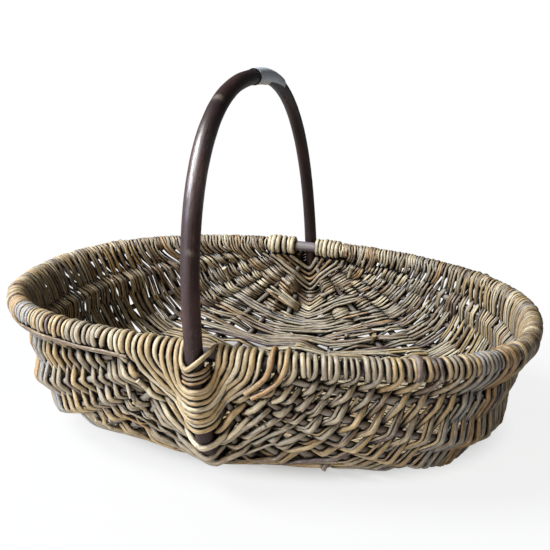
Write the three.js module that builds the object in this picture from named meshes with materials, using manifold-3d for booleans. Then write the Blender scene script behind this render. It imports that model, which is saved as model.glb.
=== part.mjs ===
// A willow rib basket. A rim hoop and a handle hoop cross at two ears, ribs are bent from ear to ear,
// and weavers run from rim to rim, over and under each rib, turning round the rim at both ends.
// The lower half of the handle hoop is the keel under the basket.
// Millimetres, +Z up. X runs along the rim, Y from the front ear to the back ear,
// and the origin is on the floor under the middle of the basket.
import * as THREE from "three";
import { mergeVertices } from "three/addons/utils/BufferGeometryUtils.js";
import Module from "manifold-3d";

// Hoops and body, between rod centres
const RIM_LENGTH = 560;
const RIM_WIDTH = 386;
const RIM_DROOP = 8.5;
const BODY_DEPTH = 132;
const LEFT_WALL = 259;
const RIGHT_WALL = 270;
const BOTTOM_LENGTH = 494;
const BOTTOM_WIDTH = 378;
const ARCH_HEIGHT = 228;
const HANDLE_SHIFT = -7;
const HANDLE_LEAN = THREE.MathUtils.degToRad(4.5);

// How square each curve is: 2 is an ellipse, and more is squarer
const RIM_SQUARENESS = 2.32;
const SECTION_SQUARENESS = 7;
const KEEL_SQUARENESS = 4.2;
const ARCH_SQUARENESS = 2.42;

// Rod diameters
const RIM_ROD = 12.6;
const HANDLE_ROD = 16;
const RIB_ROD = 7.5;
const WEAVER_ROD = 5;

// Paper label on the handle
const LABEL_LENGTH = 24;
const LABEL_PAPER = 0.6;

// Weave
const RIBS_PER_SIDE = 7;
const WEAVE_GAP = 4.6;
const COURSES_PER_WEAVER = 3;
const EAR_COURSES = 4;
const FEW_RIB_COURSES = 5;
const EAR_WRAP_TURN = Math.PI;
const FULL_WRAP_TURN = 3 * Math.PI;
const WRAP_STEP = Math.PI / 3;
const WRAP_SPREAD = 0.25;
const RIB_TAIL = 0.5;
const EAR_GAP_RODS = 1.5;

// Fits
const CLEARANCE = 0.3;
const FLOOR_CUT = 0.6;
const SETTLING_PASSES = 12;
const SETTLING_SAMPLES = 16;

// Steps of the faceted rods
const CURVE_SAMPLES = 240;
const RIM_STEPS = 40;
const RIB_STEPS = 26;
const KEEL_STEPS = 26;
const ARCH_STEPS = 24;
const HOOP_SIDES = 8;
const RIB_SIDES = 6;
const LABEL_SIDES = 16;

// Corners of a weaver's square section
const SQUARE = [
  [1, 1],
  [-1, 1],
  [-1, -1],
  [1, -1],
];

const halfWidth = RIM_WIDTH / 2;
const endTaper = 1 - BOTTOM_LENGTH / (LEFT_WALL + RIGHT_WALL);
const sideTaper = 1 - BOTTOM_WIDTH / RIM_WIDTH;
const handleHalfWidth = halfWidth + RIM_ROD / 2 + CLEARANCE + HANDLE_ROD / 2;
const keelDepth = BODY_DEPTH - (HANDLE_ROD - RIB_ROD) / 2;
const weaverHalf = WEAVER_ROD / 2;
const quarterTurn = Math.PI / 2;

// Curves

function superellipse(turn, squareness) {
  const power = 2 / squareness;
  const across = Math.sign(Math.cos(turn)) * Math.abs(Math.cos(turn)) ** power;
  const reach = Math.abs(Math.sin(turn)) ** power;
  return { across, reach };
}

// A path of straight steps, so that what sits on a rod is placed on the rod's own facets.
function pathThrough(points) {
  const path = new THREE.CurvePath();
  for (let i = 1; i < points.length; i++) {
    path.add(new THREE.LineCurve3(points[i - 1], points[i]));
  }
  return path;
}

function evenPath(pointAt, steps) {
  const fine = [];
  for (let i = 0; i <= CURVE_SAMPLES; i++) fine.push(pointAt(i / CURVE_SAMPLES));
  return pathThrough(pathThrough(fine).getSpacedPoints(steps));
}

function pathPoints(path) {
  const ends = path.curves.map((line) => line.v2);
  return [path.curves[0].v1, ...ends];
}

// Distance from the ear-to-ear axis to the ribs at an angle below the rim, at mid length.
// The left wall stands a little further in than the right one.
function ribReach(angle, side) {
  const wall = side < 0 ? LEFT_WALL : RIGHT_WALL;
  const level = (Math.cos(angle) / wall) ** SECTION_SQUARENESS;
  const down = (Math.sin(angle) / BODY_DEPTH) ** SECTION_SQUARENESS;
  return (level + down) ** (-1 / SECTION_SQUARENESS);
}

function tapered(point) {
  const depth = -point.z / BODY_DEPTH;
  point.x *= 1 - endTaper * depth;
  point.y *= 1 - sideTaper * depth;
  return point;
}

// Angles at which the rim, the ribs and the keel leave the mid section, evenly spaced along it.
function sectionAngles(side) {
  const pointAt = (share) => {
    const angle = share * quarterTurn;
    const reach = ribReach(angle, side);
    return tapered(new THREE.Vector3(reach * Math.cos(angle), 0, -reach * Math.sin(angle)));
  };
  const section = evenPath(pointAt, RIBS_PER_SIDE + 1);
  return pathPoints(section).map(({ x, z }) => {
    const depth = -z / BODY_DEPTH;
    return Math.atan2(-z, x / (1 - endTaper * depth));
  });
}

// A rod bent from the front ear to the back ear. Ribs fan out evenly at the ears, from where the handle
// crosses the rim, and end up evenly spaced along the mid section. Rib 0 is half of the rim, which droops
// towards its ends.
function bodyRodPoint(share, rib, midAngle, side) {
  const squareness = RIM_SQUARENESS + (KEEL_SQUARENESS - RIM_SQUARENESS) * Math.sin(midAngle) ** 2;
  const { across, reach } = superellipse(share * Math.PI, squareness);
  const earAngle = (rib / (RIBS_PER_SIDE + 1)) * quarterTurn;
  const angle = earAngle + (midAngle - earAngle) * reach;
  const out = (rib === 0 ? RIM_LENGTH / 2 : ribReach(angle, side)) * reach;
  const level = side * out * Math.cos(angle);
  const point = tapered(new THREE.Vector3(level, -halfWidth * across, -out * Math.sin(angle)));
  point.x += HANDLE_SHIFT * (1 - reach);
  point.z -= RIM_DROOP * reach ** 2 * (1 + point.z / BODY_DEPTH);
  return point;
}

// The handle hoop leans to the left, so its keel lies to the right of where it crosses the rim.
const hoopShift = (height) => HANDLE_SHIFT - height * Math.tan(HANDLE_LEAN);

function keelPoint(share) {
  const { across, reach } = superellipse(share * Math.PI, KEEL_SQUARENESS);
  const taper = 1 - sideTaper * reach;
  const height = -keelDepth * reach;
  return new THREE.Vector3(hoopShift(height), -handleHalfWidth * across * taper, height);
}

function archPoint(share) {
  const { across, reach } = superellipse(share * Math.PI, ARCH_SQUARENESS);
  const height = ARCH_HEIGHT * reach;
  return new THREE.Vector3(hoopShift(height), handleHalfWidth * across, height);
}

// Rods as closed meshes

// Joins rings of points, each counter-clockwise about the direction of travel.
function skin(rings, closed) {
  const sides = rings[0].length;
  const positions = rings.flat().flatMap((p) => [p.x, p.y, p.z]);
  const faces = [];
  const joins = closed ? rings.length : rings.length - 1;
  for (let i = 0; i < joins; i++) {
    const here = i * sides;
    const there = ((i + 1) % rings.length) * sides;
    for (let k = 0; k < sides; k++) {
      const next = (k + 1) % sides;
      faces.push(here + k, here + next, there + next);
      faces.push(here + k, there + next, there + k);
    }
  }
  if (!closed) {
    const last = (rings.length - 1) * sides;
    for (let k = 1; k < sides - 1; k++) {
      faces.push(0, k + 1, k);
      faces.push(last, last + k, last + k + 1);
    }
  }
  const geometry = new THREE.BufferGeometry();
  geometry.setAttribute("position", new THREE.Float32BufferAttribute(positions, 3));
  geometry.setIndex(faces);
  geometry.computeVertexNormals();
  return geometry;
}

function roundRod(points, diameter, sides, upright, closed) {
  const count = points.length;
  const rings = points.map((point, i) => {
    const before = closed ? points[(i + count - 1) % count] : points[Math.max(i - 1, 0)];
    const after = closed ? points[(i + 1) % count] : points[Math.min(i + 1, count - 1)];
    const along = after.clone().sub(before).normalize();
    const first = upright.clone().projectOnPlane(along).normalize();
    const second = along.clone().cross(first);
    return Array.from({ length: sides }, (_, k) => {
      const turn = ((k + 0.5) / sides) * 2 * Math.PI;
      return point
        .clone()
        .addScaledVector(first, (diameter / 2) * Math.cos(turn))
        .addScaledVector(second, (diameter / 2) * Math.sin(turn));
    });
  });
  return skin(rings, closed);
}

// Warps, from the left rim over the ribs and the keel to the right rim

const keelPath = evenPath(keelPoint, KEEL_STEPS);
const earGapOnRim = HANDLE_ROD / 2 + CLEARANCE + EAR_GAP_RODS * WEAVER_ROD;
const earGapOnKeel = RIM_ROD / 2 + CLEARANCE + EAR_GAP_RODS * WEAVER_ROD;
const wovenKeel = keelPath.getLength() - 2 * earGapOnKeel;
const coursesThatFit = wovenKeel / (WEAVER_ROD + WEAVE_GAP) + 1;
const courses = Math.floor(coursesThatFit / COURSES_PER_WEAVER) * COURSES_PER_WEAVER;

function warp(path, diameter, earGap, firstCourse) {
  const length = path.getLength();
  const pitch = (length - 2 * earGap) / (courses - 1);
  const fractionAt = (course) => (earGap + (course - 1) * pitch) / length;
  return { path, radius: diameter / 2, firstCourse, fractionAt };
}

function sideWarps(side) {
  const midAngles = sectionAngles(side);
  const warps = [];
  for (let rib = 0; rib <= RIBS_PER_SIDE; rib++) {
    const isRim = rib === 0;
    const steps = isRim ? RIM_STEPS : RIB_STEPS;
    const path = evenPath((share) => bodyRodPoint(share, rib, midAngles[rib], side), steps);
    const isPrimary = rib % 2 === 0;
    const ribStart = EAR_COURSES + 1 + (isPrimary ? 0 : FEW_RIB_COURSES);
    const firstCourse = isRim ? 1 : ribStart;
    warps.push(warp(path, isRim ? RIM_ROD : RIB_ROD, earGapOnRim, firstCourse));
  }
  return warps;
}

const leftWarps = sideWarps(-1);
const rightWarps = sideWarps(1);
const keelWarp = warp(keelPath, HANDLE_ROD, earGapOnKeel, 1);
const allWarps = [...leftWarps, keelWarp, ...rightWarps.toReversed()];

const takesPart = (warpRod, course) => {
  return course >= warpRod.firstCourse && course <= courses + 1 - warpRod.firstCourse;
};
const isFullCourse = (course) => {
  const first = EAR_COURSES + FEW_RIB_COURSES + 1;
  return course >= first && course <= courses + 1 - first;
};
const isEarCourse = (course) => course <= EAR_COURSES || course > courses - EAR_COURSES;

// Weavers

// A stop is where a weaver passes a rod, outside it (side 1) or inside it (side -1).
// The weaver's centre lies off the rod's axis by the offset, along the normal.
function stopOn(warpRod, fraction, side) {
  const place = warpRod.path.getPoint(fraction);
  const along = warpRod.path.getTangent(fraction);
  const offset = warpRod.radius + weaverHalf + CLEARANCE;
  return { warpRod, fraction, side, place, along, offset };
}

const centreOf = (stop) => stop.place.clone().addScaledVector(stop.normal, stop.side * stop.offset);

// One course, from rim to rim in its direction of travel.
function courseStops(course) {
  const crossed = allWarps.filter((warpRod) => takesPart(warpRod, course));
  const goesLeft = course % 2 === 0;
  if (goesLeft) crossed.reverse();
  const last = crossed.length - 1;
  const stops = crossed.map((warpRod, i) => {
    const isRim = i === 0 || i === last;
    const spread = isRim && isFullCourse(course) ? WRAP_SPREAD : 0;
    const fraction = warpRod.fractionAt(course + (i === 0 ? spread : -spread));
    const alternate = (i + course) % 2 === 0 ? 1 : -1;
    const staysOutside = isEarCourse(course) && !isRim;
    return stopOn(warpRod, fraction, staysOutside ? 1 : alternate);
  });
  stops.forEach((stop, i) => {
    const before = stops[Math.max(i - 1, 0)].place;
    const after = stops[Math.min(i + 1, last)].place;
    stop.travel = after.clone().sub(before).projectOnPlane(stop.along).normalize();
    stop.normal = stop.along.clone().cross(stop.travel);
    if (stop.normal.dot(stop.place) < 0) stop.normal.negate();
  });
  return stops.flatMap((stop) => (bendsRound(stop, course) ? bendStops(stop) : [stop]));
}

// Near the ears a course bends right round the thick keel.
const bendsRound = (stop, course) => stop.warpRod === keelWarp && !isFullCourse(course);

function bendStops(stop) {
  return [-WRAP_STEP, 0, WRAP_STEP].map((lean) => {
    const normal = stop.normal.clone().multiplyScalar(Math.cos(lean));
    normal.addScaledVector(stop.travel, stop.side * Math.sin(lean));
    return { ...stop, normal };
  });
}

// The stops of a turn round the rim, between the end of one course and the start of the next,
// over the top of the rim first.
function turnStops(from, to, turn) {
  const steps = Math.round(turn / WRAP_STEP);
  const stops = [];
  for (let k = 1; k < steps; k++) {
    const share = k / steps;
    const stop = stopOn(from.warpRod, THREE.MathUtils.lerp(from.fraction, to.fraction, share), 1);
    const outward = from.normal.clone().lerp(to.normal, share).projectOnPlane(stop.along).normalize();
    const upward = outward.clone().cross(stop.along);
    if (upward.z < 0) upward.negate();
    stop.normal = outward.multiplyScalar(from.side * Math.cos(share * turn));
    stop.normal.addScaledVector(upward, Math.sin(share * turn));
    stops.push(stop);
  }
  return stops;
}

// Moves stops away from their rods until the straight stretches between them clear the rods.
function settle(stops) {
  for (let pass = 0; pass < SETTLING_PASSES; pass++) {
    const rings = weaverRings(stops);
    stops.forEach((stop, i) => {
      const nearby = [rings[i - 1], rings[i + 1]].filter(Boolean);
      const gaps = nearby.map((ring) => stretchGap(stop, rings[i], ring));
      stop.offset += Math.max(0, CLEARANCE - Math.min(...gaps));
    });
  }
}

// Least gap between a stop's rod and the edges of the weaver on its way to a neighbouring ring,
// measured at points that lie closer together near the stop.
function stretchGap(stop, ring, neighbour) {
  const point = new THREE.Vector3();
  let least = Infinity;
  ring.forEach((corner, k) => {
    for (let i = 0; i <= SETTLING_SAMPLES; i++) {
      point.lerpVectors(corner, neighbour[k], (i / SETTLING_SAMPLES) ** 2);
      least = Math.min(least, distanceToRod(stop, point));
    }
  });
  return least - stop.warpRod.radius;
}

// Distance from a point to the rod's axis, over the steps of the rod next to a stop.
function distanceToRod(stop, point) {
  const lines = stop.warpRod.path.curves;
  const here = Math.floor(stop.fraction * lines.length);
  const closest = new THREE.Vector3();
  let least = Infinity;
  for (const { v1, v2 } of lines.slice(Math.max(here - 1, 0), here + 2)) {
    new THREE.Line3(v1, v2).closestPointToPoint(point, true, closest);
    least = Math.min(least, closest.distanceTo(point));
  }
  return least;
}

// All weavers as lists of stops. Each one ends half way round the rim, where the next begins.
function weaverStops() {
  const rows = Array.from({ length: courses }, (_, i) => courseStops(i + 1));
  const all = [];
  const cuts = [];
  rows.forEach((stops, i) => {
    all.push(...stops);
    if (i === courses - 1) return;
    const isFull = isFullCourse(i + 1) && isFullCourse(i + 2);
    const turn = turnStops(stops.at(-1), rows[i + 1][0], isFull ? FULL_WRAP_TURN : EAR_WRAP_TURN);
    if ((i + 1) % COURSES_PER_WEAVER === 0) cuts.push(all.length + turn.length / 2);
    all.push(...turn);
  });
  settle(all);
  return [0, ...cuts].map((start, i) => all.slice(start, cuts[i]));
}

// Square rings for a list of stops, each turned to match the ring before it.
function weaverRings(stops) {
  const centres = stops.map(centreOf);
  const rings = [];
  stops.forEach(({ normal, along }, i) => {
    const before = centres[Math.max(i - 1, 0)];
    const after = centres[Math.min(i + 1, centres.length - 1)];
    const travel = after.clone().sub(before);
    const faces = normal.clone().cross(along).dot(travel) < 0 ? -1 : 1;
    const corners = SQUARE.map(([out, over]) => {
      const corner = centres[i].clone().addScaledVector(normal, out * weaverHalf);
      return corner.addScaledVector(along, over * faces * weaverHalf);
    });
    rings.push(i === 0 ? corners : matchedTo(rings[i - 1], corners));
  });
  return rings;
}

function matchedTo(previous, corners) {
  const count = corners.length;
  const shifted = corners.map((_, shift) => corners.map((_, k) => corners[(k + shift) % count]));
  const spread = (ring) => ring.reduce((sum, p, k) => sum + p.distanceToSquared(previous[k]), 0);
  return shifted.reduce((best, ring) => (spread(ring) < spread(best) ? ring : best));
}

// Cutting the rods that touch the floor flat

const wasm = await Module();
wasm.setup();

function solidOf(geometry) {
  const bare = geometry.clone();
  bare.deleteAttribute("normal");
  bare.deleteAttribute("uv");
  const merged = mergeVertices(bare);
  const vertProperties = new Float32Array(merged.attributes.position.array);
  const triVerts = new Uint32Array(merged.index.array);
  return new wasm.Manifold(new wasm.Mesh({ numProp: 3, vertProperties, triVerts }));
}

function geometryOf(solid) {
  const { vertProperties, triVerts } = solid.getMesh();
  const geometry = new THREE.BufferGeometry();
  geometry.setAttribute("position", new THREE.Float32BufferAttribute(vertProperties, 3));
  geometry.setIndex([...triVerts]);
  geometry.computeVertexNormals();
  return geometry;
}

function cutAtFloor(geometry, floor) {
  geometry.computeBoundingBox();
  if (geometry.boundingBox.min.z >= floor) return geometry;
  const height = BODY_DEPTH + ARCH_HEIGHT;
  const above = new THREE.BoxGeometry(2 * RIM_LENGTH, 2 * RIM_LENGTH, height);
  above.translate(0, 0, floor + height / 2);
  return geometryOf(solidOf(geometry).intersect(solidOf(above)));
}

// Materials

const willow = (color) => new THREE.MeshStandardMaterial({ color, roughness: 0.6, metalness: 0 });
const handleBark = willow("#3b2a2b");
const rimBark = willow("#6a5a58");
const ribBark = willow("#7b6b58");
const weaverTones = ["#b39a6b", "#8f7d62", "#a68a58", "#99907c"].map(willow);
const paper = willow("#e9edf2");

// Assembly, with the rim rod's centre at height 0 until the whole is set on the floor

const basket = new THREE.Group();
const raised = new THREE.Group();
basket.add(raised);

function addPiece(name, geometry, material) {
  const mesh = new THREE.Mesh(geometry, material);
  mesh.name = name;
  raised.add(mesh);
  return mesh;
}

function addHoop(name, frontToBack, backToFront, diameter, upright, material) {
  const points = [...pathPoints(frontToBack).slice(0, -1), ...pathPoints(backToFront).slice(0, -1)];
  addPiece(name, roundRod(points, diameter, HOOP_SIDES, upright, true), material);
}

const archPath = evenPath(archPoint, ARCH_STEPS);
const rightRimBack = pathThrough(pathPoints(rightWarps[0].path).reverse());
addHoop("rim_hoop", leftWarps[0].path, rightRimBack, RIM_ROD, new THREE.Vector3(0, 0, 1), rimBark);
addHoop("handle_hoop", keelPath, archPath, HANDLE_ROD, new THREE.Vector3(1, 0, 0), handleBark);

// A rib runs a little past the first and last courses that hold it.
function ribGeometry(warpRod, side) {
  const start = warpRod.fractionAt(warpRod.firstCourse - RIB_TAIL);
  const shares = Array.from({ length: RIB_STEPS + 1 }, (_, i) => i / RIB_STEPS);
  const kept = shares.filter((share) => share > start && share < 1 - start);
  const points = [start, ...kept, 1 - start].map((share) => warpRod.path.getPoint(share));
  const upright = new THREE.Vector3(side, 0, 1);
  return roundRod(points, 2 * warpRod.radius, RIB_SIDES, upright, false);
}

for (let rib = 1; rib <= RIBS_PER_SIDE; rib++) {
  addPiece(`rib_left_${rib}`, ribGeometry(leftWarps[rib], -1), ribBark);
  addPiece(`rib_right_${rib}`, ribGeometry(rightWarps[rib], 1), ribBark);
}

const weaverSkins = weaverStops().map((stops) => skin(weaverRings(stops), false));
const lowest = weaverSkins.map((geometry) => {
  geometry.computeBoundingBox();
  return geometry.boundingBox.min.z;
});
const floorLevel = Math.min(...lowest) + FLOOR_CUT;
weaverSkins.forEach((geometry, i) => {
  const tone = weaverTones[i % weaverTones.length];
  addPiece(`weaver_${i + 1}`, cutAtFloor(geometry, floorLevel), tone);
});

// The label is a paper band round the straight step of the handle just behind its top.
function labelGeometry() {
  const apothem = 1 / Math.cos(Math.PI / LABEL_SIDES);
  const inner = (HANDLE_ROD / 2 + CLEARANCE) * apothem;
  const band = new THREE.Shape().absarc(0, 0, inner + LABEL_PAPER, 0, 2 * Math.PI);
  band.holes.push(new THREE.Path().absarc(0, 0, inner, 0, 2 * Math.PI, true));
  const settings = { depth: LABEL_LENGTH, bevelEnabled: false, curveSegments: LABEL_SIDES };
  return new THREE.ExtrudeGeometry(band, settings).translate(0, 0, -LABEL_LENGTH / 2);
}

const labelStep = archPath.curves[ARCH_STEPS / 2 - 1];
const label = addPiece("paper_label", labelGeometry(), paper);
label.position.copy(labelStep.getPoint(0.5));
label.quaternion.setFromUnitVectors(new THREE.Vector3(0, 0, 1), labelStep.getTangent(0.5));

raised.position.z = -floorLevel;

export default basket;
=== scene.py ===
# %% [markdown]
# # A willow rib basket
#
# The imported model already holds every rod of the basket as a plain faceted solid, at its true place and
# size. This lesson dresses it: each rod is bent again as a smooth stick with bark, the weave is made as
# fine as the real one, and the paper label is wound round the handle. Nothing moves on this basket, so
# every piece rides on the one body, called root.

# %% Load the frame
import math
import random
from dataclasses import dataclass, replace

import bpy
import numpy as np
from mathutils import Matrix, Vector
from mathutils.kdtree import KDTree


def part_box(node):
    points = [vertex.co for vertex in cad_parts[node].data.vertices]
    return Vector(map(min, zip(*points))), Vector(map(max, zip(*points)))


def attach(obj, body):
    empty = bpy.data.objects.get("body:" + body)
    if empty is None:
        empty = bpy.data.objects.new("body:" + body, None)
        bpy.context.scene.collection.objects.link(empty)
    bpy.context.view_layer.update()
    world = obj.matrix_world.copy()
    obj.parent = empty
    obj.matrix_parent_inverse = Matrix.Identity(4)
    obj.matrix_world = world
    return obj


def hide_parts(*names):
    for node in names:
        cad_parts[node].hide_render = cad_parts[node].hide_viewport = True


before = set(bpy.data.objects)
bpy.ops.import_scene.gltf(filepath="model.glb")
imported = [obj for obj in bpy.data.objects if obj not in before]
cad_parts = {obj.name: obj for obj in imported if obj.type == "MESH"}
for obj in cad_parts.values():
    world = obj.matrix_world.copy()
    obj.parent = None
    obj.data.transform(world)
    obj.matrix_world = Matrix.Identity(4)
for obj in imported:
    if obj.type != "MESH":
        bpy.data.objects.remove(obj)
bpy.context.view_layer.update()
dice = random.Random(20)

# %% [markdown]
# ## The curves of the basket
#
# A rib basket is two hoops that cross at two ears, with ribs bent from ear to ear between them. All of
# these rods follow squared ellipses, so one formula and a few sizes give every centre line. The sizes are
# those of the model, in metres, and the height of the rim is read from the frame.

# %% Sizes of the hoops and the body, between rod centres
RIM_LENGTH = 0.560
RIM_WIDTH = 0.386
RIM_DROOP = 0.0085
BODY_DEPTH = 0.132
LEFT_WALL = 0.259
RIGHT_WALL = 0.270
BOTTOM_LENGTH = 0.494
BOTTOM_WIDTH = 0.378
ARCH_HEIGHT = 0.228
HANDLE_SHIFT = -0.007
HANDLE_LEAN = math.radians(4.5)
RIM_SQUARENESS = 2.32
SECTION_SQUARENESS = 7
KEEL_SQUARENESS = 4.2
ARCH_SQUARENESS = 2.42
RIM_ROD = 0.0126
HANDLE_ROD = 0.016
RIB_ROD = 0.0075
RIBS_PER_SIDE = 7
CLEARANCE = 0.0003
TOUCH = -0.0003

keel_depth = BODY_DEPTH - (HANDLE_ROD - RIB_ROD) / 2
handle_half_width = (RIM_WIDTH + RIM_ROD + HANDLE_ROD) / 2 + CLEARANCE
hoop_low, hoop_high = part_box("handle_hoop")
RIM_HEIGHT = (hoop_low.z + hoop_high.z - ARCH_HEIGHT + keel_depth) / 2
CENTRE = np.array([0, 0, RIM_HEIGHT])
end_taper = 1 - BOTTOM_LENGTH / (LEFT_WALL + RIGHT_WALL)
side_taper = 1 - BOTTOM_WIDTH / RIM_WIDTH
print("rim height:", round(RIM_HEIGHT, 4))


# %% A centre line that is measured along its length
class Line:
    def __init__(self, points):
        self.points = np.asarray(points, float)
        steps = np.linalg.norm(np.diff(self.points, axis=0), axis=1)
        self.reached = np.concatenate([[0], np.cumsum(steps)])
        self.length = self.reached[-1]

    def at(self, share):
        place = np.asarray(share) * self.length
        return np.stack([np.interp(place, self.reached, self.points[:, k]) for k in range(3)], axis=-1)

    def heading(self, share, step=0.004):
        ahead = self.at(min(share + step, 1)) - self.at(max(share - step, 0))
        return ahead / np.linalg.norm(ahead)

    def even(self, step):
        return self.at(np.linspace(0, 1, max(2, round(self.length / step) + 1)))


# %% Formulas for the rods
SAMPLES = 600
quarter = math.pi / 2
# The shares crowd together near the ears, where a squared ellipse turns fastest.
shares = (1 - np.cos(np.linspace(0, math.pi, SAMPLES))) / 2


def squared_ellipse(squareness):
    turn = shares * math.pi
    across = np.sign(np.cos(turn)) * np.abs(np.cos(turn)) ** (2 / squareness)
    reach = np.abs(np.sin(turn)) ** (2 / squareness)
    return across, reach


def rib_reach(angle, side):
    wall = LEFT_WALL if side < 0 else RIGHT_WALL
    level = np.abs(np.cos(angle) / wall) ** SECTION_SQUARENESS
    down = np.abs(np.sin(angle) / BODY_DEPTH) ** SECTION_SQUARENESS
    return (level + down) ** (-1 / SECTION_SQUARENESS)


def tapered(x, y, z):
    depth = -z / BODY_DEPTH
    return np.stack([x * (1 - end_taper * depth), y * (1 - side_taper * depth), z + RIM_HEIGHT], axis=-1)


def section_angles(side):
    """Angles at which the rim, the ribs and the keel leave the mid section, evenly spaced along it."""
    turn = np.linspace(0, quarter, SAMPLES)
    out = rib_reach(turn, side)
    section = Line(tapered(out * np.cos(turn), 0 * turn, -out * np.sin(turn)))
    return np.interp(np.linspace(0, section.length, RIBS_PER_SIDE + 2), section.reached, turn)


def body_line(rib, side):
    middle = section_angles(side)[rib]
    squareness = RIM_SQUARENESS + (KEEL_SQUARENESS - RIM_SQUARENESS) * math.sin(middle) ** 2
    across, reach = squared_ellipse(squareness)
    at_ear = rib / (RIBS_PER_SIDE + 1) * quarter
    angle = at_ear + (middle - at_ear) * reach
    out = reach * (RIM_LENGTH / 2 if rib == 0 else rib_reach(angle, side))
    points = tapered(side * out * np.cos(angle), -RIM_WIDTH / 2 * across, -out * np.sin(angle))
    points[:, 0] += HANDLE_SHIFT * (1 - reach)
    points[:, 2] -= RIM_DROOP * reach**2 * (1 + (points[:, 2] - RIM_HEIGHT) / BODY_DEPTH)
    return Line(points)


def hoop_line(height, half_width, squareness, taper):
    across, reach = squared_ellipse(squareness)
    z = height * reach
    x = HANDLE_SHIFT - z * math.tan(HANDLE_LEAN)
    return Line(np.stack([x, -half_width * across * (1 - taper * reach), z + RIM_HEIGHT], axis=-1))


keel = hoop_line(-keel_depth, handle_half_width, KEEL_SQUARENESS, side_taper)
# The arch starts at the back.
arch = hoop_line(ARCH_HEIGHT, -handle_half_width, ARCH_SQUARENESS, 0)
left_lines = [body_line(rib, -1) for rib in range(RIBS_PER_SIDE + 1)]
right_lines = [body_line(rib, 1) for rib in range(RIBS_PER_SIDE + 1)]
print("rim, keel and arch:", [round(line.length, 3) for line in (left_lines[0], keel, arch)])

# %% [markdown]
# ## Camera
#
# The camera stands in front of the basket, a little to its right and above it, and looks slightly down. A
# long lens keeps the oval of the rim calm.

# %% Camera
CAMERA_TURN = math.radians(16.55)
CAMERA_RISE = math.radians(18.42)
CAMERA_ROLL = math.radians(1.19)
CAMERA_DISTANCE = 1.025
CAMERA_LENS = 61.36
CAMERA_SHIFT = (0.0101, 0.0339)
AIM = Vector((0, 0, RIM_HEIGHT - 0.0023))

back = Vector((
    math.sin(CAMERA_TURN) * math.cos(CAMERA_RISE),
    -math.cos(CAMERA_TURN) * math.cos(CAMERA_RISE),
    math.sin(CAMERA_RISE),
))
bpy.ops.object.camera_add(location=AIM + back * CAMERA_DISTANCE)
camera = bpy.context.object
camera.rotation_mode = "QUATERNION"
roll = Matrix.Rotation(CAMERA_ROLL, 3, "Z").to_quaternion()
camera.rotation_quaternion = (-back).to_track_quat("-Z", "Y") @ roll
camera.data.lens = CAMERA_LENS
camera.data.shift_x, camera.data.shift_y = CAMERA_SHIFT
bpy.context.scene.camera = camera
bpy.context.scene.view_settings.view_transform = "Standard"
print("camera at", tuple(round(x, 3) for x in camera.location))

# %% [markdown]
# ## Shader sums in Python
#
# A bark material is mostly arithmetic: masks, sums and mixes. Wiring Math nodes by hand hides the
# formula, so a small class wraps a socket and turns Python's operators into nodes. Anything that is not
# arithmetic comes from its one method, node, which sets a node's options first and then its sockets.


# %% The socket class
class Wire:
    def __init__(self, socket):
        self.socket = socket
        self.tree = socket.id_data

    def node(self, kind, settings, sockets, output=0):
        made = self.tree.nodes.new(kind)
        for name, value in settings.items():
            if name == "stops":
                set_stops(made.color_ramp, value)
            else:
                setattr(made, name, value)
        for name, value in sockets.items():
            place = next(s for s in made.inputs if name in (s.identifier, s.name))
            if isinstance(value, Wire):
                self.tree.links.new(value.socket, place)
            else:
                place.default_value = value
        found = [s for s in made.outputs if output in (s.identifier, s.name)]
        return Wire(found[0] if found else made.outputs[output])

    def sum(self, operation, first, second):
        return self.node("ShaderNodeMath", {"operation": operation}, {"Value": first, "Value_001": second})

    def __add__(self, other):
        return self.sum("ADD", self, other)

    def __sub__(self, other):
        return self.sum("SUBTRACT", self, other)

    def __rsub__(self, other):
        return self.sum("SUBTRACT", other, self)

    def __mul__(self, other):
        return self.sum("MULTIPLY", self, other)

    __radd__ = __add__
    __rmul__ = __mul__

    def between(self, low, high):
        """A mask that rises smoothly from 0 at low to 1 at high."""
        settings = {"interpolation_type": "SMOOTHSTEP"}
        return self.node("ShaderNodeMapRange", settings, {"Value": self, "From Min": low, "From Max": high})

    def mix(self, first, second):
        """Blends two colours, with this value as the factor."""
        sockets = {"Factor_Float": self, "A_Color": first, "B_Color": second}
        return self.node("ShaderNodeMix", {"data_type": "RGBA"}, sockets, "Result_Color")

    def stretched(self, along, across):
        """A vector of rod coordinates, scaled along the rod and across it."""
        sockets = {"Vector": self, "Vector_001": (along, across, across)}
        return self.node("ShaderNodeVectorMath", {"operation": "MULTIPLY"}, sockets)

    def noise(self, scale, detail=2.0, roughness=0.5):
        sockets = {"Vector": self, "Scale": scale, "Detail": detail, "Roughness": roughness}
        return self.node("ShaderNodeTexNoise", {}, sockets, "Fac")

    def ramp(self, stops, interpolation="LINEAR"):
        return self.node("ShaderNodeValToRGB", {"stops": (stops, interpolation)}, {"Fac": self}, "Color")


def set_stops(ramp, value):
    stops, ramp.interpolation = value
    while len(ramp.elements) < len(stops):
        ramp.elements.new(1)
    for element, (position, colour) in zip(ramp.elements, stops):
        element.position = position
        element.color = colour


print("sums: + - * and reflected forms, with mix, noise and ramp")


# %% Colours and materials
def srgb(red, green, blue):
    """A colour as seen on a screen, 0 to 255, in the linear light that shaders use."""
    shares = [value / 255 for value in (red, green, blue)]
    return (*[s / 12.92 if s <= 0.04045 else ((s + 0.055) / 1.055) ** 2.4 for s in shares], 1)


def shader_of(material):
    return material.node_tree.nodes["Principled BSDF"]


def new_material(name, **fixed):
    """A material with fixed values on its shader's own sockets."""
    material = bpy.data.materials.new(name)
    material.use_nodes = True
    for socket, value in fixed.items():
        shader_of(material).inputs[socket.replace("_", " ")].default_value = value
    return material


def read_attribute(material, name, output="Fac"):
    node = material.node_tree.nodes.new("ShaderNodeAttribute")
    node.attribute_name = name
    return Wire(node.outputs[output])


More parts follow.
